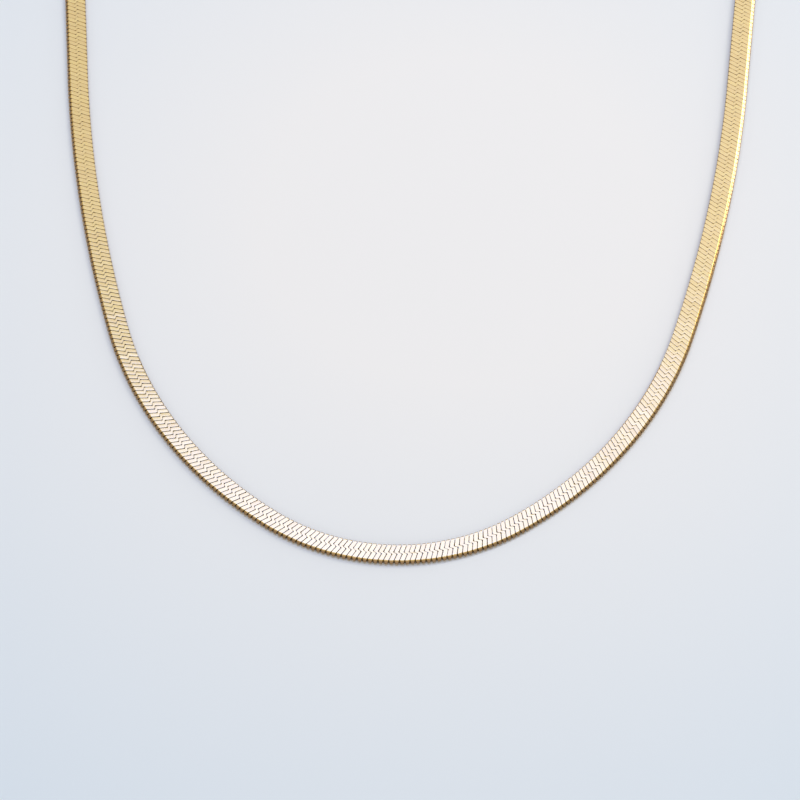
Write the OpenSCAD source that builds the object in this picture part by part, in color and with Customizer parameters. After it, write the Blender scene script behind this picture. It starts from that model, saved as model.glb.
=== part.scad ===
// Flat snake chain necklace, closed, lying on a flat surface.
// Millimetres, +Z up. The front of the loop points to -Y and the clasp lies at +Y.
// The origin is on the surface, below the middle of the necklace's box.

/* [Chain] */
// Length of the whole closed necklace, clasp included
necklace_len = 457; // [440:1:480]
// Width of the flat band
band_w = 3.2; // [2.9:0.1:3.4]
// Thickness of the flat band
band_t = 0.7; // [0.6:0.05:0.9]

/* [Loop] */
// Radius of the front of the loop
front_r = 32.6; // [28:0.2:40]
// Heading where the front arc ends, in degrees
front_end = 33.5; // [25:0.5:40]
// Radius of the loop between front and side
shoulder_r = 60; // [50:1:65]
// Heading where the shoulder arc ends, in degrees
shoulder_end = 73.5; // [60:0.5:76]
// Radius of the side of the loop
side_r = 240; // [180:5:280]
// Heading where the side arc ends and the straight arm starts, in degrees
side_end = 85; // [80:0.5:88]

/* [End caps] */
// Width of an end cap
cap_w = 3.6; // [3.5:0.1:4.2]
// Thickness of an end cap
cap_t = 1.1; // [1.1:0.05:1.4]
// Length of an end cap
cap_len = 4.5; // [4:0.5:6]
// Mean radius of the eye on a cap and of the clasp's tail eye
eye_r = 1.3; // [1.25:0.05:1.35]
// Radius of the eye's wire
eye_wire_r = 0.3; // [0.25:0.05:0.35]

/* [Rings and clasp] */
// Mean radius of the jump ring on the clasp's tail
ring_r = 1.85; // [1.8:0.05:1.9]
// Mean radius of the larger jump ring that the clasp holds
hook_ring_r = 2.3; // [2.25:0.05:2.4]
// Radius of the jump rings' wire
ring_wire_r = 0.3; // [0.25:0.05:0.3]
// Lean of the jump rings from the surface, in degrees
ring_lean = 60; // [58:1:62]
// Mean radius of the clasp's two round ends
hook_r = 1.5; // [1.4:0.05:1.6]
// Distance between the centres of the clasp's round ends
hook_len = 3.4; // [3:0.1:4]
// Radius of the clasp's body wire
hook_wire_r = 0.65; // [0.6:0.05:0.7]

/* [Hidden] */
$fn = 96;

gold = [0.86, 0.74, 0.50];

// Small gap that is kept between two metal pieces
gap = 0.06;
// Depth by which soldered shapes sink into each other
solder = 0.25;

// Heights above the surface
band_z = band_t / 2;
cap_z = cap_t / 2;
eye_z = 1.05;
hook_z = 1.55;

// Flat tongue on each end of the band, which is what a cap's slot holds
tongue_w = band_w - 0.6;
tongue_t = 0.3;
tongue_len = 3.2;

// The gate is the thinner side of the clasp, with a thumb knob near its tail end
gate_r = 0.5;
knob_r = 0.5;
tail_wire_r = 0.35;

// Layout along the clasp stretch, measured from the middle of the clasp's body
function lean_s(r, z) = (z - ring_wire_r) / (r * sin(ring_lean)) - 1;
function lean_x(r, z) = r * sqrt(1 - pow(lean_s(r, z), 2));
function lean_y(r, z) = r * lean_s(r, z) * cos(ring_lean);
function ring_shift(r) = -lean_y(r, eye_z);
tail_x = -hook_len / 2 - hook_r - hook_wire_r - eye_r - tail_wire_r + solder;
ring_left_x = tail_x - lean_x(ring_r, hook_z);
eye_left_x = ring_left_x - lean_x(ring_r, eye_z);
held_x = hook_len / 2;
ring_right_x = held_x + lean_x(hook_ring_r, hook_z);
eye_right_x = ring_right_x + lean_x(hook_ring_r, eye_z);
eye_reach = eye_r + eye_wire_r - solder;
stretch_left = -eye_left_x + eye_reach + cap_len + gap;
stretch_right = eye_right_x + eye_reach + cap_len + gap;
stretch_half = (stretch_left + stretch_right) / 2;
clasp_x = (stretch_left - stretch_right) / 2;

// The right half of the loop: heading is 0 at the front and 180 at the clasp.
// Each arc starts where the one before it ends, with the same heading.
function dir(a) = [sin(a), -cos(a)];
front_c = [0, front_r];
shoulder_c = front_c + (front_r - shoulder_r) * dir(front_end);
side_c = shoulder_c + (shoulder_r - side_r) * dir(shoulder_end);
arm_start = side_c + side_r * dir(side_end);
curved_len = (front_r * front_end + shoulder_r * (shoulder_end - front_end)
    + side_r * (side_end - shoulder_end)) * PI / 180;

// The straight arm and the back arc close the loop at the necklace's length
back_turn = (180 - side_end) * PI / 180;
back_k = back_turn / sin(side_end);
arm_len = (necklace_len / 2 - curved_len - stretch_half - back_k * (arm_start.x - stretch_half))
    / (1 + back_k * cos(side_end));
back_r = (arm_start.x + arm_len * cos(side_end) - stretch_half) / sin(side_end);
arm_end = arm_start + arm_len * [cos(side_end), sin(side_end)];
back_c = arm_end - back_r * dir(side_end);
back_y = back_c.y + back_r;

// The origin is halfway between the front of the band and the back of the clasp stretch
ring_edge = ring_shift(hook_ring_r) + hook_ring_r * cos(ring_lean) + ring_wire_r;
back_edge = max(hook_r + hook_wire_r, ring_edge);
middle_y = (back_y + back_edge - band_w / 2) / 2;

// Heading and place on the right half of the loop, s millimetres from the front
front_len = front_r * front_end * PI / 180;
shoulder_len = front_len + shoulder_r * (shoulder_end - front_end) * PI / 180;
arm_from = curved_len;
arm_to = arm_from + arm_len;
half_len = arm_to + back_r * back_turn;
function turned(s, r) = s / r * 180 / PI;
function half_heading(s) =
    s < front_len ? turned(s, front_r) :
    s < shoulder_len ? front_end + turned(s - front_len, shoulder_r) :
    s < arm_from ? shoulder_end + turned(s - shoulder_len, side_r) :
    s < arm_to ? side_end : side_end + turned(s - arm_to, back_r);
function half_place(s) =
    s < front_len ? front_c + front_r * dir(half_heading(s)) :
    s < shoulder_len ? shoulder_c + shoulder_r * dir(half_heading(s)) :
    s < arm_from ? side_c + side_r * dir(half_heading(s)) :
    s < arm_to ? arm_start + (s - arm_from) * [cos(side_end), sin(side_end)] :
    back_c + back_r * dir(half_heading(s));

// The same on the whole loop, where the left half has negative s
function heading(s) = sign(s) * half_heading(abs(s));
function place(s) = [sign(s) * half_place(abs(s)).x, half_place(abs(s)).y];

// Cross-section of the band as [outward, up]: two round sides of side_parts facets
side_parts = 6;
function side_point(side, k) =
    side * ([(band_w - band_t) / 2, 0] + band_t / 2 * dir(k * 180 / side_parts));
section = [for (side = [1, -1]) for (k = [0:side_parts]) side_point(side, k) + [0, band_z]];

// The band is swept through rings at equal distances
band_parts = 144;
function ring_at(s) = [for (p = section)
    [place(s).x + p.x * sin(heading(s)), place(s).y - p.x * cos(heading(s)), p.y]];

// The woven band between the mouths of the two caps
module band() {
    n = len(section);
    points = [for (i = [0:band_parts]) each ring_at(half_len * (2 * i / band_parts - 1))];
    walls = [for (i = [0:band_parts - 1]) for (j = [0:n - 1])
        [i * n + j, i * n + (j + 1) % n, (i + 1) * n + (j + 1) % n, (i + 1) * n + j]];
    start_face = [for (j = [n - 1:-1:0]) j];
    end_face = [for (j = [0:n - 1]) band_parts * n + j];
    polyhedron(points, concat([start_face], walls, [end_face]), convexity = 4);
}

// Flat tongue on the band's right end
module tongue() {
    translate([stretch_half - tongue_len, back_y - tongue_w / 2, band_z - tongue_t / 2])
        cube([tongue_len + solder, tongue_w, tongue_t]);
}

module chain() {
    color(gold)
        translate([0, -middle_y, 0]) {
            band();
            tongue();
            mirror([1, 0, 0])
                tongue();
        }
}

// Flat slab with round sides, seen along the chain
module slab(w, t) {
    square([w - t, t], center = true);
    for (side = [-1, 1])
        translate([side * (w - t) / 2, 0])
            circle(d = t);
}

// Wire ring that lies flat round the origin
module wire_ring(r, wire_r) {
    rotate_extrude()
        translate([r, 0])
            circle(wire_r);
}

// End cap with its mouth at x = 0 and its eye towards -X at distance eye_x
module end_cap(eye_x) {
    color(gold) {
        difference() {
            translate([-cap_len, 0, cap_z])
                rotate([90, 0, 90])
                    linear_extrude(cap_len)
                        slab(cap_w, cap_t);
            translate([-tongue_len - gap, -tongue_w / 2 - gap, band_z - tongue_t / 2 - gap])
                cube([tongue_len + 1, tongue_w + 2 * gap, tongue_t + 2 * gap]);
        }
        translate([-eye_x, 0, eye_z])
            wire_ring(eye_r, eye_wire_r);
    }
}

// Place on the clasp stretch, x measured from the middle of the clasp's body
module on_stretch(x) {
    translate([clasp_x + x, back_y - middle_y, 0])
        children();
}

module end_cap_left() {
    translate([-stretch_half + gap, back_y - middle_y, 0])
        mirror([1, 0, 0])
            end_cap(cap_len + eye_reach);
}

module end_cap_right() {
    translate([stretch_half - gap, back_y - middle_y, 0])
        end_cap(cap_len + eye_reach);
}

// Jump ring that leans on its lowest point and passes through both eyes
module jump_ring(r) {
    color(gold)
        translate([0, ring_shift(r), ring_wire_r + r * sin(ring_lean)])
            rotate([ring_lean, 0, 0])
                wire_ring(r, ring_wire_r);
}

module ring_left() {
    on_stretch(ring_left_x)
        jump_ring(ring_r);
}

module ring_right() {
    on_stretch(ring_right_x)
        jump_ring(hook_ring_r);
}

// Half of a round wire end, open towards -X
module hook_end() {
    rotate([0, 0, -90])
        rotate_extrude(angle = 180)
            translate([hook_r, 0])
                circle(hook_wire_r);
}

// Closed clasp: two round ends, a thick back, a thinner gate and a tail eye
module clasp() {
    color(gold)
        on_stretch(0)
            translate([0, 0, hook_z]) {
                translate([hook_len / 2, 0, 0])
                    hook_end();
                translate([-hook_len / 2, 0, 0])
                    rotate([0, 0, 180])
                        hook_end();
                translate([-hook_len / 2, hook_r, 0])
                    rotate([0, 90, 0])
                        cylinder(r = hook_wire_r, h = hook_len);
                translate([-hook_len / 2 - solder, -hook_r, 0])
                    rotate([0, 90, 0])
                        cylinder(r = gate_r, h = hook_len + 2 * solder);
                translate([-hook_len / 2 + knob_r, -hook_r - gate_r, 0])
                    sphere(r = knob_r);
                translate([tail_x, 0, 0])
                    wire_ring(eye_r, tail_wire_r);
            }
}

chain();
end_cap_left();
end_cap_right();
ring_left();
ring_right();
clasp();
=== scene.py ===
# Flat snake chain necklace on a pale surface: the looks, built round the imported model.
# Metres, +Z up, in the model's own frame: the front of the loop to -Y, the clasp to +Y.
import math

import bpy
import numpy as np
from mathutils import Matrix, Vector


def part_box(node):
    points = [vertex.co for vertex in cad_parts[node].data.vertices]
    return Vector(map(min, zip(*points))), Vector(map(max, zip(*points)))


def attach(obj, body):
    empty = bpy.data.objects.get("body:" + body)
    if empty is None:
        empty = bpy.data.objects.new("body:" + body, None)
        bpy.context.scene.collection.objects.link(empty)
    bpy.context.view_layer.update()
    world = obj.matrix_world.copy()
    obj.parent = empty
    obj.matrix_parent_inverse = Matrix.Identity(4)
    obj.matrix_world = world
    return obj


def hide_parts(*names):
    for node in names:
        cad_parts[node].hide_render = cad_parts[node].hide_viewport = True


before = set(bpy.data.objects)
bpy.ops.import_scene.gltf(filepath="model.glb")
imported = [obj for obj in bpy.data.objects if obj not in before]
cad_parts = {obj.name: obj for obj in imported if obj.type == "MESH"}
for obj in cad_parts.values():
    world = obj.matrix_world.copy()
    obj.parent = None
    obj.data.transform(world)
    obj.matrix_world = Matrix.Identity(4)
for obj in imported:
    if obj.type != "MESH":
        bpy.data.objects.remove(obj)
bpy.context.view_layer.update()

MM = 0.001
SEED = 7
# Edges sharper than this angle aren't shaded smooth
SHARP_ANGLE = math.radians(35)

# Driving dimensions of the loop, the same as in the model's source
NECKLACE_LEN = 457 * MM
BAND_W = 3.2 * MM
BAND_T = 0.7 * MM
FRONT_R, FRONT_END = 32.6 * MM, math.radians(33.5)
SHOULDER_R, SHOULDER_END = 60 * MM, math.radians(73.5)
SIDE_R, SIDE_END = 240 * MM, math.radians(85)
CAP_GAP = 0.06 * MM


# The path of the band


def outward(heading):
    """Unit vectors to the outside of the loop, for headings counted from the front."""
    return np.stack([np.sin(heading), -np.cos(heading)], axis=-1)


class Loop:
    """Centre line of the band: distance s from the front, negative on the left half."""

    def __init__(self):
        cap_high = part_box("end_cap_right")[1]
        chain_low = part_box("chain")[0]
        stretch_half = cap_high[0] + CAP_GAP
        self.front_c = np.array([0.0, chain_low[1] + BAND_W / 2 + FRONT_R])
        self.shoulder_c = self.front_c + (FRONT_R - SHOULDER_R) * outward(FRONT_END)
        self.side_c = self.shoulder_c + (SHOULDER_R - SIDE_R) * outward(SHOULDER_END)
        self.arm_start = self.side_c + SIDE_R * outward(SIDE_END)
        self.front_len = FRONT_R * FRONT_END
        self.shoulder_len = self.front_len + SHOULDER_R * (SHOULDER_END - FRONT_END)
        self.arm_from = self.shoulder_len + SIDE_R * (SIDE_END - SHOULDER_END)
        turn = math.pi - SIDE_END
        k = turn / math.sin(SIDE_END)
        spare = NECKLACE_LEN / 2 - self.arm_from - stretch_half - k * (self.arm_start[0] - stretch_half)
        arm_len = spare / (1 + k * math.cos(SIDE_END))
        self.arm_to = self.arm_from + arm_len
        self.arm_dir = np.array([math.cos(SIDE_END), math.sin(SIDE_END)])
        self.back_r = (self.arm_start[0] + arm_len * self.arm_dir[0] - stretch_half) / math.sin(SIDE_END)
        self.back_c = self.arm_start + arm_len * self.arm_dir - self.back_r * outward(SIDE_END)
        self.half_len = self.arm_to + self.back_r * turn
        self.end_middle = np.array([self.back_c[1] + self.back_r, BAND_T / 2])

    def at(self, s):
        """Places and headings at the distances s."""
        d = np.abs(s)
        zones = [d < self.front_len, d < self.shoulder_len, d < self.arm_from, d < self.arm_to]
        heading = np.select(
            zones,
            [d / FRONT_R,
             FRONT_END + (d - self.front_len) / SHOULDER_R,
             SHOULDER_END + (d - self.shoulder_len) / SIDE_R,
             np.full_like(d, SIDE_END)],
            SIDE_END + (d - self.arm_to) / self.back_r)
        out = outward(heading)
        on_arm = self.arm_start + (d - self.arm_from)[..., None] * self.arm_dir
        zone = np.select(zones, [0, 1, 2, 3], 4)
        centres = np.array([self.front_c, self.shoulder_c, self.side_c, [0, 0], self.back_c])
        radii = np.array([FRONT_R, SHOULDER_R, SIDE_R, 0, self.back_r])
        on_arc = centres[zone] + radii[zone][..., None] * out
        place = np.where((zone == 3)[..., None], on_arm, on_arc)
        side = np.where(s < 0, -1.0, 1.0)
        place = place * np.stack([side, np.ones_like(side)], axis=-1)
        return place, side * heading


LOOP = Loop()


def on_band(s, u, v, tilt):
    """Points at distance s along the loop, u outward and v up in the band, tilted about its middle."""
    place, heading = LOOP.at(s)
    across = u * np.cos(tilt) - v * np.sin(tilt)
    rise = u * np.sin(tilt) + v * np.cos(tilt) + BAND_T / 2
    out = outward(heading)
    return np.concatenate([place + across[..., None] * out, rise[..., None]], axis=-1)


# The links


LINK_PITCH = 0.75 * MM
# Thickness of a link's strip
LINK_DEPTH = 0.2 * MM
# The flat face lies nearer to the inner side, so that the outer side bulges more
FACE_HALF = 1.315 * MM
FACE_SHIFT = -0.185 * MM
# The face leans outward by this angle where it meets the sides
EDGE_LEAN = math.radians(9)
# The sides bulge by this power of the height.
# Their cross sections lie at these shares of the half thickness.
SIDE_BULGE = 1.5
SIDE_LEVELS = np.array([0.95, 0.7, 0.4, 0.0, -0.4, -0.7, -0.95])
# Where a link's upper and lower strips have their cross sections
UPPER_STATIONS = np.array([-1.315, -1.3, -1.24, -0.9, -0.6, -0.36, -0.2, -0.1, -0.03, 0.03, 0.08,
                           0.13, 0.18, 0.24, 0.31, 0.42, 0.6, 0.9, 1.15, 1.3, 1.315]) * MM
LOWER_STATIONS = np.array([1.315, 0.9, 0.42, 0.24, 0.1, -0.03, -0.2, -0.6, -1.0, -1.315]) * MM
# The stations at the inner edge of the face, where a painted shade line lies near the front
EDGE_STATIONS = [0, 1, -2, -1]

# The seams lean less on the bend at the front than on the arms
LEAN_FRONT, LEAN_ARM = 0.40, 0.50
LEAN_UNTIL = 60 * MM
# They close up between these distances from the front, sooner on the right arm
CLOSING_LEFT, CLOSING_RIGHT = (55 * MM, 100 * MM), (15 * MM, 75 * MM)
# Nearer to the front than this, the inner edge of the face has a painted shade line
OUTLINED_UNTIL = 55 * MM
# The step between a link's two lanes: its length along the band, and where it lies across it
LANE_STEP = 0.64 * MM
STEP_FROM, STEP_TO = -0.10 * MM, 0.30 * MM
# Half the width of a seam on the face, and what the sides add to it
GAP_FRONT, GAP_ARM = 0.042 * MM, 0.007 * MM
SIDE_GAP, SIDE_GAP_RIGHT = 0.11 * MM, 0.04 * MM
# A seam widens into small holes at the step's corners and at the face's outer and inner edges.
# Each has its size, its middle across the face and its reach from there.
CORNER_HOLE = 0.045 * MM
CORNER_FROM, CORNER_TO, CORNER_REACH = STEP_FROM - 0.02 * MM, STEP_TO + 0.01 * MM, 0.08 * MM
HOLE_FRONT, HOLE_LEFT, HOLE_RIGHT = 0.03 * MM, 0.09 * MM, 0.0
HOLE_MIDDLE, HOLE_REACH = FACE_HALF + 0.13 * MM, 0.16 * MM
INNER_HOLE = 0.09 * MM
INNER_MIDDLE, INNER_REACH = -FACE_HALF - 0.05 * MM, 0.12 * MM

# Cross section of a link, from its middle to its edge. Two points lie on the flat, at these shares of its
# half width, and then come the bevel's points. Each has its distance from the link's edge and its depth, as
# shares of the bevel's width. The last point is the strip's inner corner.
FLAT_SHARES = (0.5, 0.97)
BEVEL_POINTS = ((1.0, 0.0), (0.6, 0.5), (0.2, 1.1), (0.0, 1.6))
BEVEL_FRONT, BEVEL_ARM, SIDE_BEVEL = 0.014 * MM, 0.025 * MM, 0.04 * MM
LEAST_FLAT = 0.01 * MM
CROWN = 0.0015 * MM
# Columns of quads on the bevels, and on the seams' walls and the strip's back
BEVEL_COLUMNS = [1, 2, 3, -5, -4, -3]
WALL_COLUMNS = [0, -2, -1]

# The slots of a link's materials
FACE_SLOT, SIDE_SLOT, SEAM_SLOT = 0, 1, 2
# Below the face's skin the metal is darkened by painted shade over this depth
FACE_SKIN, SHADE_DEPTH = 0.015 * MM, 0.09 * MM
# Spread of the links' nod along the band, roll across it, lift, slip along it, and tone
JITTER = np.array([0.003, 0.002, 0.003 * MM, 0.008 * MM, 1.0])
# Slow unevenness of the face, as a tilt: waves with their size, length and start
TILT = math.radians(0.3)
TILT_WAVES = ((0.5, 5.1 * MM, 0.7), (0.35, 2.9 * MM, 2.0), (0.6, 13.7 * MM, 0.0))
# The links' lowest points lie at this height
FLOOR_GAP = 0.005 * MM


def smooth(x):
    x = np.clip(x, 0, 1)
    return x * x * (3 - 2 * x)


def hump(x, middle, reach):
    return np.exp(-((x - middle) / reach) ** 2)


def lane_shift(w, lean):
    """How far along the band a link lies at w on the face: two leaning lanes with a step between them."""
    w = np.clip(w, -FACE_HALF, FACE_HALF)
    return -lean * w + LANE_STEP * (smooth((w - STEP_FROM) / (STEP_TO - STEP_FROM)) - 0.5)


def side_arc(depth):
    """Bulging side from the face's edge to the underside's, without its two ends: places and normals."""
    level, half_t = np.abs(SIDE_LEVELS), BAND_T / 2
    place = np.stack([FACE_HALF + depth * (1 - level ** SIDE_BULGE), SIDE_LEVELS * half_t], axis=-1)
    slope = depth * SIDE_BULGE * np.sign(SIDE_LEVELS) * level ** (SIDE_BULGE - 1)
    normal = np.stack([np.full(len(level), half_t), slope], axis=-1)
    return place, normal / np.linalg.norm(normal, axis=-1, keepdims=True)


def link_stations():
    """Places and normals round the band's section: face, outer side, underside and inner side."""
    places, normals = [], []
    for stations, up in ((UPPER_STATIONS, 1), (LOWER_STATIONS, -1)):
        place = np.stack([stations, np.full(len(stations), up * BAND_T / 2)], axis=-1)
        normal = np.stack([np.zeros(len(stations)), np.full(len(stations), float(up))], axis=-1)
        for end in (0, -1):
            normal[end] = [math.copysign(math.sin(EDGE_LEAN), stations[end]), up * math.cos(EDGE_LEAN)]
        arc, arc_normal = side_arc(BAND_W / 2 - FACE_HALF - up * FACE_SHIFT)
        places += [place, arc * up]
        normals += [normal, arc_normal * up]
    return np.concatenate(places), np.concatenate(normals)


def link_template(face_gap, side_gap, outer_hole, face_bevel):
    """Points of one link at each station and column: along the band without the lanes' shift, across
    from the face's middle, and up."""
    place, normal = link_stations()
    w, v = place.T
    depth = BAND_W / 2 - FACE_HALF - np.sign(w) * FACE_SHIFT
    side = smooth((np.abs(w) - FACE_HALF) / depth)
    corners = hump(w, CORNER_FROM, CORNER_REACH) + hump(w, CORNER_TO, CORNER_REACH)
    edges = (outer_hole * hump(w, HOLE_MIDDLE, HOLE_REACH)
             + INNER_HOLE * hump(w, INNER_MIDDLE, INNER_REACH))
    gap = face_gap + side_gap * side + CORNER_HOLE * corners + edges
    bevel = face_bevel + (SIDE_BEVEL - face_bevel) * side
    half = LINK_PITCH / 2 - gap
    flat = np.maximum(half - bevel, LEAST_FLAT)
    across = [(share * flat, CROWN * share ** 2) for share in FLAT_SHARES]
    across += [(flat + (1 - cut) * bevel, CROWN + sunk * bevel) for cut, sunk in BEVEL_POINTS]
    across.append((half, np.full_like(half, LINK_DEPTH)))
    rows = [np.stack([edge * along, w - inward * normal[:, 0], v - inward * normal[:, 1]], axis=-1)
            for edge, half_row in ((-1, across[::-1]), (1, across)) for along, inward in half_row]
    return np.stack(rows, axis=1)


def link_slots(stations, columns, outlined):
    """Material of each quad of a link: flat faces, round sides, and the seams' bevels and walls in a darker
    gold of painted shade.
    An outlined link has the inner edge of its face in the seams' material too, as a painted shade line."""
    upper, lower = len(UPPER_STATIONS), len(LOWER_STATIONS)
    slots = np.full((stations, columns), SIDE_SLOT, dtype=np.int32)
    for start, count in ((0, upper), (upper + len(SIDE_LEVELS), lower)):
        slots[start:start + count - 1] = FACE_SLOT
        slots[start:start + count - 1, BEVEL_COLUMNS] = SEAM_SLOT
    slots[:, WALL_COLUMNS] = SEAM_SLOT
    if outlined:
        slots[EDGE_STATIONS] = SEAM_SLOT
    return slots.ravel()


def seam_points(stations, columns):
    """Mask of painted shade: 1 at a link's points in the seams and at the inner edge of the face, and 0 on
    the rest.
    """
    in_seam = np.ones((stations, columns))
    flat_from = len(BEVEL_POINTS) + 1
    in_seam[:, flat_from:-flat_from] = 0
    in_seam[EDGE_STATIONS] = 1
    return in_seam.ravel()


def ring_faces(stations, columns):
    """Quads of a closed ring of stations by columns."""
    i, j = np.meshgrid(np.arange(stations), np.arange(columns), indexing="ij")
    next_i, next_j = (i + 1) % stations, (j + 1) % columns
    corners = ((i, j), (next_i, j), (next_i, next_j), (i, next_j))
    quads = np.stack([row * columns + column for row, column in corners], axis=-1)
    return quads.reshape(-1, 4)


def link_count():
    return round(2 * LOOP.half_len / LINK_PITCH)


def closing(s):
    """How far the seams have closed up at distance s, from 0 to 1."""
    closing_from, closing_to = CLOSING_LEFT if s < 0 else CLOSING_RIGHT
    return smooth((abs(s) - closing_from) / (closing_to - closing_from))


def band_tilt(s):
    return TILT * sum(size * np.sin(s / length + start) for size, length, start in TILT_WAVES)


def add_object(name, data):
    thing = bpy.data.objects.new(name, data)
    bpy.context.scene.collection.objects.link(thing)
    return thing


def make_mesh(name, verts, faces):
    mesh = bpy.data.meshes.new(name)
    mesh.vertices.add(len(verts))
    mesh.vertices.foreach_set("co", np.asarray(verts, dtype=np.float32).ravel())
    mesh.loops.add(faces.size)
    mesh.loops.foreach_set("vertex_index", faces.ravel().astype(np.int32))
    mesh.polygons.add(len(faces))
    mesh.polygons.foreach_set("loop_start", np.arange(0, faces.size, 4, dtype=np.int32))
    mesh.update(calc_edges=True)
    mesh.validate()
    mesh.shade_smooth()
    return add_object(name, mesh)


def make_links(name, first, last):
    """Links first to last - 1 as one mesh, with the tone of each link and the painted shade in its seams
    and below its face.
    """
    pitch = 2 * LOOP.half_len / link_count()
    at_front = link_template(GAP_FRONT, SIDE_GAP, HOLE_FRONT, BEVEL_FRONT)
    on_left = link_template(GAP_ARM, SIDE_GAP, HOLE_LEFT, BEVEL_ARM)
    on_right = link_template(GAP_ARM, SIDE_GAP_RIGHT, HOLE_RIGHT, BEVEL_ARM)
    stations, columns = at_front.shape[:2]
    ring = ring_faces(stations, columns)
    in_seam = seam_points(stations, columns)
    jitter = np.random.default_rng(SEED).normal(size=(link_count(), len(JITTER))) * JITTER
    verts, faces, tones, recess_shades, slots = [], [], [], [], []
    for i in range(first, last):
        nod, roll, lift, slip, tone = jitter[i]
        centre = (i + 0.5) * pitch - LOOP.half_len
        lean = LEAN_FRONT + (LEAN_ARM - LEAN_FRONT) * smooth(abs(centre) / LEAN_UNTIL)
        closed = closing(centre)
        on_arm = on_left if centre < 0 else on_right
        along, w, v = (at_front + (on_arm - at_front) * closed).reshape(-1, 3).T
        s = np.clip(centre + slip + along + lane_shift(w, lean), -LOOP.half_len, LOOP.half_len)
        up = v + along * nod + w * roll + lift
        # Painted shade: darker with depth below the face's skin, and in the open seams and at the face's
        # inner edge
        recess_shade = smooth((BAND_T / 2 - FACE_SKIN - v) / SHADE_DEPTH)
        verts.append(on_band(s, w + FACE_SHIFT, up, band_tilt(centre)))
        faces.append(ring + len(faces) * len(w))
        tones.append(np.full(len(w), tone))
        recess_shades.append(np.maximum(recess_shade, in_seam * (1 - closed)))
        # Near the front, the face's inner edge takes the seams' painted shade
        slots.append(link_slots(stations, columns, abs(centre) < OUTLINED_UNTIL))
    verts = np.concatenate(verts)
    verts[:, 2] = np.maximum(verts[:, 2], FLOOR_GAP)
    piece = make_mesh(name, verts, np.concatenate(faces))
    piece.data.polygons.foreach_set("material_index", np.concatenate(slots))
    piece.data.set_sharp_from_angle(angle=SHARP_ANGLE)
    for key, values in (("tone", tones), ("recess_shade", recess_shades)):
        attribute = piece.data.attributes.new(key, "FLOAT", "POINT")
        attribute.data.foreach_set("value", np.concatenate(values).astype(np.float32))
    return piece


# The core of the band


# Its section, as shares of its half width and half thickness
CORE_SECTION = ((1, -0.6), (1, 0.6), (0.95, 1), (-0.95, 1),
                (-1, 0.6), (-1, -0.6), (-0.95, -1), (0.95, -1))
CORE_STEPS = 300
# It reaches this far up into the links' strips
CORE_OVERLAP = 0.02 * MM
# The tongues' length, and their section as a share of the core's
TONGUE_LEN, TONGUE_SHARE = 3.2 * MM, 0.88


def make_core():
    """Body below the links in a gold darkened by painted shade, seen only down the seams, with a flat
    tongue in each cap's slot.
    """
    half_w, half_t = FACE_HALF, BAND_T / 2 - LINK_DEPTH + CORE_OVERLAP
    s = np.linspace(-LOOP.half_len, LOOP.half_len, CORE_STEPS)
    reach = np.array([TONGUE_LEN, 0, 0])
    around = []
    for u, v in CORE_SECTION:
        band = on_band(s, np.full(len(s), u * half_w), np.full(len(s), v * half_t), 0.0)
        tongue = np.array([band[0], band[-1]])
        tongue[:, 1:] += (tongue[:, 1:] - LOOP.end_middle) * (TONGUE_SHARE - 1)
        left, right = [tongue[0] + reach, tongue[0]], [tongue[1], tongue[1] - reach]
        around.append(np.concatenate([left, band, right]))
    around = np.stack(around, axis=1)
    sides = ring_faces(*around.shape[:2])[:-len(CORE_SECTION)]
    end = np.array([[0, 1, 2, 3], [0, 3, 4, 7], [7, 4, 5, 6]])
    ends = np.concatenate([end, (end + (len(around) - 1) * len(CORE_SECTION))[:, ::-1]])
    return make_mesh("band_core", around.reshape(-1, 3), np.concatenate([sides, ends]))


# The end caps


CAP_W, CAP_T, CAP_LEN = 3.6 * MM, 1.1 * MM, 4.5 * MM
EYE_R, EYE_WIRE_R, EYE_Z = 1.3 * MM, 0.3 * MM, 1.05 * MM
EYE_STEPS, EYE_WIRE_STEPS = 72, 24
SLOT_W, SLOT_T, SLOT_LEN = 2.72 * MM, 0.42 * MM, 3.26 * MM
# Rounded edge at both ends of a cap, in millimetres: in from the end, in from the surface
CAP_EDGE = ((0.2, 0.0), (0.13, 0.0), (0.08, 0.01), (0.038, 0.038), (0.01, 0.08), (0.0, 0.13), (0.0, 0.2))
# Points round each side of a cap's section, and how far in from there its flats have their first points
ARC_STEPS = 14
FLAT_INSET = 0.1 * MM
# Sections this near to the slot's mouth and end keep their edges crisp
SLOT_INSET = 0.05 * MM


def both_sides(across, up):
    """A section from the points on its one side, turned half round for the other."""
    return np.concatenate([np.stack([across, up], axis=-1), np.stack([-across, -up], axis=-1)])


def slab_side(inset):
    """Points on one side of a cap's section, across and up, that far inside its surface."""
    middle = (CAP_W - CAP_T) / 2
    angle = np.linspace(-math.pi / 2, math.pi / 2, ARC_STEPS + 1)
    radius = CAP_T / 2 - inset
    first = [middle - FLAT_INSET]
    across = np.concatenate([first, middle + radius * np.cos(angle), first])
    up = np.concatenate([[-radius], radius * np.sin(angle), [radius]])
    return across, up


def slab_section(inset):
    return both_sides(*slab_side(inset))


def slot_section():
    """Points round the slot, as many as round the cap."""
    up = slab_side(0.0)[1] / (CAP_T / 2) * SLOT_T / 2
    across = np.full(len(up), SLOT_W / 2)
    across[[0, -1]] = SLOT_W / 2 - FLAT_INSET
    return both_sides(across, up)


def torus(radius, wire_r, around, across):
    """Points and quads of a wire ring that lies flat round the origin."""
    a = np.linspace(0, 2 * math.pi, around, endpoint=False)[:, None]
    b = np.linspace(0, 2 * math.pi, across, endpoint=False)[None, :]
    reach = radius + wire_r * np.cos(b)
    verts = np.stack([reach * np.cos(a), reach * np.sin(a), wire_r * np.sin(b) + 0 * a], axis=-1)
    return verts.reshape(-1, 3), ring_faces(around, across)


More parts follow.
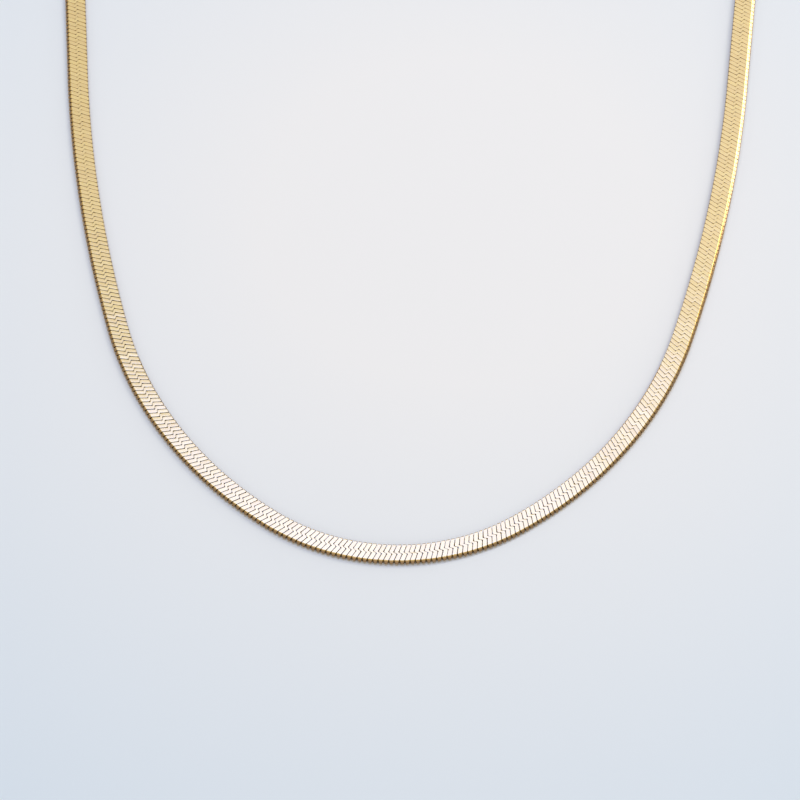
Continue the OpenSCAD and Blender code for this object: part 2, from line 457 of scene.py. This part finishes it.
def make_cap(name, side):
    """One end cap in place of the model's: mouth towards the band, eye towards the clasp."""
    low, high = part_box(name)
    mouth = high[0] if side > 0 else low[0]
    eye_x = abs(mouth) - (min(abs(low[0]), abs(high[0])) + EYE_R + EYE_WIRE_R)
    back = [(CAP_LEN - near * MM, slab_section(inset * MM)) for near, inset in CAP_EDGE[::-1]]
    front = [(near * MM, slab_section(inset * MM)) for near, inset in CAP_EDGE]
    slot_depths = (0.0, SLOT_INSET, SLOT_LEN - SLOT_INSET, SLOT_LEN)
    slot = [(depth, slot_section()) for depth in slot_depths]
    rings = []
    for depth, section in back + front + slot:
        height = CAP_T / 2 if len(rings) < len(back + front) else BAND_T / 2
        across, up = section.T
        rings.append(np.column_stack([np.full(len(section), -depth), across, up + height]))
    count = len(rings[0])
    faces = ring_faces(len(rings), count)[:-count]
    fold = np.array([[i, i + 1, count - 2 - i, count - 1 - i] for i in range(count // 2 - 1)])
    faces = np.concatenate([faces, fold, fold[:, ::-1] + (len(rings) - 1) * count])
    eye, eye_faces = torus(EYE_R, EYE_WIRE_R, EYE_STEPS, EYE_WIRE_STEPS)
    verts = np.concatenate([np.concatenate(rings), eye + [-eye_x, 0, EYE_Z]])
    faces = np.concatenate([faces, eye_faces + len(rings) * count])
    verts = verts * [side, 1, 1] + [mouth, (low[1] + high[1]) / 2, 0]
    cap = make_mesh(name + "_rounded", verts, faces if side > 0 else faces[:, ::-1])
    cap.data.set_sharp_from_angle(angle=SHARP_ANGLE)
    return cap


# Materials


GOLD = (1.0, 0.64, 0.118)
# Painted shade: the gold below the face's skin, on the links' sides and undersides and down the seams
SHADED_GOLD = (0.38, 0.215, 0.06)
# Painted shade between the links: the seams' bevels and walls, and deeper down them
SHADED_SEAM_GOLD = (0.62, 0.31, 0.045)
DEEP_SHADE_GOLD = (0.10, 0.055, 0.018)
# Painted shade: the core's gold, darkened
CORE_SHADED_DARK, CORE_SHADED_LIGHT = (0.13, 0.075, 0.022), (0.24, 0.14, 0.045)
# A link's colour goes from the first of these shares of the gold to the second, over this spread of tones
TONE_DARK, TONE_LIGHT, TONE_SPREAD = 0.93, 1.05, 2.0
# The polish is a clear reflection over the metal
COAT_IOR, COAT_ROUGHNESS = 3.6, 0.13
# Noise, in features per metre: cloudy polish, fine scratches, the core and the paper
POLISH_SCALE, SCRATCH_SCALE, CORE_SCALE, PAPER_SCALE = 900.0, 9000.0, 2500.0, 60.0
SCRATCH_DEPTH = 0.01 * MM
# Painted pool of light: the surface is painted palest and warmest around this place, and painted cooler and
# darker between these distances from it
LIGHT_POOL_CENTRE = (8 * MM, -24 * MM, 0)
LIGHT_POOL_FROM, LIGHT_POOL_TO = 30 * MM, 130 * MM
LIT_PAPER, SHADED_PAPER = (0.965, 0.932, 0.808), (0.748, 0.822, 0.795)


def new_material(name):
    """A material with its node tree, its shader and a node for places on the object."""
    material = bpy.data.materials.new(name)
    material.use_nodes = True
    tree = material.node_tree
    return material, tree, tree.nodes["Principled BSDF"], tree.nodes.new("ShaderNodeTexCoord")


def link_node(tree, kind, **values):
    node = tree.nodes.new(kind)
    for key, value in values.items():
        node.inputs[key].default_value = value
    return node


def noise(tree, place, scale, detail):
    node = link_node(tree, "ShaderNodeTexNoise", Scale=scale, Detail=detail)
    tree.links.new(place.outputs["Object"], node.inputs["Vector"])
    return node.outputs["Fac"]


def mesh_value(tree, name):
    """A value that the mesh keeps at its points."""
    node = tree.nodes.new("ShaderNodeAttribute")
    node.attribute_name = name
    return node.outputs["Fac"]


def remap(tree, value, from_range, to_range):
    (from_low, from_high), (to_low, to_high) = from_range, to_range
    node = link_node(tree, "ShaderNodeMapRange", **{"From Min": from_low, "From Max": from_high,
                                                    "To Min": to_low, "To Max": to_high})
    tree.links.new(value, node.inputs["Value"])
    return node.outputs["Result"]


def colour_ramp(tree, value, low, high):
    node = tree.nodes.new("ShaderNodeValToRGB")
    node.color_ramp.elements[0].color = (*low, 1)
    node.color_ramp.elements[1].color = (*high, 1)
    tree.links.new(value, node.inputs["Fac"])
    return node.outputs["Color"]


def gold_material(name, colour, shade_colour, roughness, coat, scratch):
    """Polished gold: fine scratches, cloudy roughness, a small drift in colour, and painted shade that
    darkens it in the seams and below the face.
    """
    material, tree, shader, place = new_material(name)
    shader.inputs["Metallic"].default_value = 1.0
    shader.inputs["Coat Weight"].default_value = coat
    shader.inputs["Coat IOR"].default_value = COAT_IOR
    shader.inputs["Coat Roughness"].default_value = COAT_ROUGHNESS
    cloud = noise(tree, place, POLISH_SCALE, 3.0)
    fine = noise(tree, place, SCRATCH_SCALE, 4.0)
    tree.links.new(remap(tree, cloud, (0.3, 0.7), roughness), shader.inputs["Roughness"])
    shade = remap(tree, mesh_value(tree, "tone"), (-TONE_SPREAD, TONE_SPREAD), (0.0, 1.0))
    darker = [c * TONE_DARK for c in colour]
    lighter = [min(1, c * TONE_LIGHT) for c in colour]
    # Painted shade: mixes the gold towards the darker colour where the mesh's painted shade value is high
    shade_mix = tree.nodes.new("ShaderNodeMix")
    shade_mix.data_type = "RGBA"
    shade_mix.inputs["B"].default_value = (*shade_colour, 1)
    tree.links.new(mesh_value(tree, "recess_shade"), shade_mix.inputs["Factor"])
    tree.links.new(colour_ramp(tree, shade, darker, lighter), shade_mix.inputs["A"])
    tree.links.new(shade_mix.outputs["Result"], shader.inputs["Base Color"])
    dent = link_node(tree, "ShaderNodeBump", Strength=scratch, Distance=SCRATCH_DEPTH)
    tree.links.new(fine, dent.inputs["Height"])
    tree.links.new(dent.outputs["Normal"], shader.inputs["Normal"])
    return material


def core_material():
    """Gold-brown metal between the links, darkened with painted shade."""
    material, tree, shader, place = new_material("gold_core_shaded")
    shader.inputs["Metallic"].default_value = 1.0
    cloud = noise(tree, place, CORE_SCALE, 3.0)
    tree.links.new(colour_ramp(tree, cloud, CORE_SHADED_DARK, CORE_SHADED_LIGHT), shader.inputs["Base Color"])
    tree.links.new(remap(tree, cloud, (0.0, 1.0), (0.45, 0.7)), shader.inputs["Roughness"])
    return material


def floor_material():
    """Matt paper with a painted pool of light: warm white near the middle of the view, painted cooler and
    darker towards its edges.
    """
    material, tree, shader, place = new_material("pale_surface")
    shader.inputs["Specular IOR Level"].default_value = 0.2
    cloud = noise(tree, place, PAPER_SCALE, 3.0)
    from_centre = tree.nodes.new("ShaderNodeVectorMath")
    from_centre.operation = "DISTANCE"
    from_centre.inputs[1].default_value = LIGHT_POOL_CENTRE
    tree.links.new(place.outputs["Object"], from_centre.inputs[0])
    reach = remap(tree, from_centre.outputs["Value"], (LIGHT_POOL_FROM, LIGHT_POOL_TO), (0.0, 1.0))
    tree.links.new(colour_ramp(tree, reach, LIT_PAPER, SHADED_PAPER), shader.inputs["Base Color"])
    tree.links.new(remap(tree, cloud, (0.0, 1.0), (0.75, 0.85)), shader.inputs["Roughness"])
    return material


# The necklace


def dress_chain():
    gold = gold_material("gold_faces", GOLD, SHADED_GOLD, (0.37, 0.45), coat=1.0, scratch=0.10)
    sides = gold_material("gold_sides", GOLD, SHADED_GOLD, (0.15, 0.21), coat=0.3, scratch=0.10)
    # Painted shade: the seams' bevels and walls in a darker gold
    seams = gold_material("gold_seams_shaded", SHADED_SEAM_GOLD, DEEP_SHADE_GOLD, (0.45, 0.60), coat=0.0, scratch=0.10)
    names = ("links_left_back", "links_left_front", "links_right_front", "links_right_back")
    bounds = [round(link_count() * k / len(names)) for k in range(len(names) + 1)]
    pieces = [make_links(*part) for part in zip(names, bounds[:-1], bounds[1:])]
    core = make_core()
    for piece in pieces:
        for material in (gold, sides, seams):
            piece.data.materials.append(material)
    core.data.materials.append(core_material())
    for piece in pieces + [core]:
        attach(piece, "root")
        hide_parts("chain")


def dress_findings():
    """The caps are replaced, and the rings and the clasp stay the model's own."""
    gold = gold_material("gold_findings", GOLD, SHADED_GOLD, (0.28, 0.36), coat=1.0, scratch=0.08)
    for name, side in (("end_cap_left", -1), ("end_cap_right", 1)):
        cap = make_cap(name, side)
        cap.data.materials.append(gold)
        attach(cap, "root")
        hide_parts(name)
    for name in ("ring_left", "ring_right", "clasp"):
        for slot in bpy.data.objects[name].material_slots:
            slot.material = gold


# Stage: floor, light and camera


# The photograph's view, fitted to the spacing of the links: elevation, turn and lens
VIEW_ELEVATION = math.radians(57.8)
VIEW_TURN = math.radians(1.42)
VIEW_DISTANCE = 0.6888
VIEW_TARGET = Vector((0.36 * MM, -58.01 * MM, 1.0 * MM))
FOCAL_PIXELS = 4629.0
PICTURE_PIXELS = 800.0
SENSOR_WIDTH = 36.0
CLIP_START, CLIP_END = 0.01, 20

FLOOR_HALF = 3.0
WORLD_COLOUR, WORLD_STRENGTH = (1.0, 0.96, 0.96), 0.55
PANEL_DISTANCE = 1.5
# Each panel's azimuth, from ahead of the camera to its right, and elevation, its width and height, its
# radiance and its colour
PANELS = {
    "panel_overhead": (0, 73, 1.75, 0.83, 1.22, (0.65, 0.905, 1.73)),
    "panel_low": (14, 47, 0.65, 0.48, 0.2, (0.85, 0.95, 1.15)),
    "key_right": (50, 33.5, 0.45, 0.45, 9.2, (1.0, 0.98, 0.95)),
    "rim_right": (59, 13, 0.33, 0.55, 6.0, (1.0, 0.98, 0.95)),
    "panel_behind": (180, 52, 1.2, 1.0, 0.14, (1.0, 0.98, 0.96)),
}


def view_axes():
    """Right and forward on the surface, as the camera sees them."""
    right = Vector((math.cos(VIEW_TURN), math.sin(VIEW_TURN), 0))
    ahead = Vector((-math.sin(VIEW_TURN), math.cos(VIEW_TURN), 0))
    return right, ahead


def make_camera():
    ahead = view_axes()[1]
    back = -ahead * math.cos(VIEW_ELEVATION) + Vector((0, 0, math.sin(VIEW_ELEVATION)))
    camera = bpy.data.cameras.new("camera")
    camera.lens = FOCAL_PIXELS / PICTURE_PIXELS * SENSOR_WIDTH
    camera.sensor_width = SENSOR_WIDTH
    camera.sensor_fit = "HORIZONTAL"
    camera.clip_start = CLIP_START
    camera.clip_end = CLIP_END
    holder = add_object("camera", camera)
    holder.location = VIEW_TARGET + back * VIEW_DISTANCE
    holder.rotation_euler = (-back).to_track_quat("-Z", "Y").to_euler()
    bpy.context.scene.camera = holder


def make_panel(name, azimuth, elevation, width, height, radiance, colour):
    """Soft panel that faces the middle of the view."""
    right, ahead = view_axes()
    a, e = math.radians(azimuth), math.radians(elevation)
    way = (ahead * math.cos(a) + right * math.sin(a)) * math.cos(e) + Vector((0, 0, math.sin(e)))
    light = bpy.data.lights.new(name, "AREA")
    light.shape = "RECTANGLE"
    light.size = width
    light.size_y = height
    light.energy = radiance * math.pi * width * height
    light.color = colour
    holder = add_object(name, light)
    holder.location = VIEW_TARGET + way * PANEL_DISTANCE
    holder.rotation_euler = way.to_track_quat("Z", "Y").to_euler()


def make_floor():
    mesh = bpy.data.meshes.new("floor")
    corners = [(x * FLOOR_HALF, y * FLOOR_HALF, 0) for x, y in ((-1, -1), (1, -1), (1, 1), (-1, 1))]
    mesh.from_pydata(corners, [], [(0, 1, 2, 3)])
    floor = add_object("floor", mesh)
    floor.data.materials.append(floor_material())


def make_world():
    world = bpy.data.worlds.new("studio")
    world.use_nodes = True
    background = world.node_tree.nodes["Background"]
    background.inputs["Color"].default_value = (*WORLD_COLOUR, 1)
    background.inputs["Strength"].default_value = WORLD_STRENGTH
    bpy.context.scene.world = world


dress_chain()
dress_findings()
make_floor()
make_world()
for panel_name, settings in PANELS.items():
    make_panel(panel_name, *settings)
make_camera()
bpy.context.scene.view_settings.view_transform = "Standard"
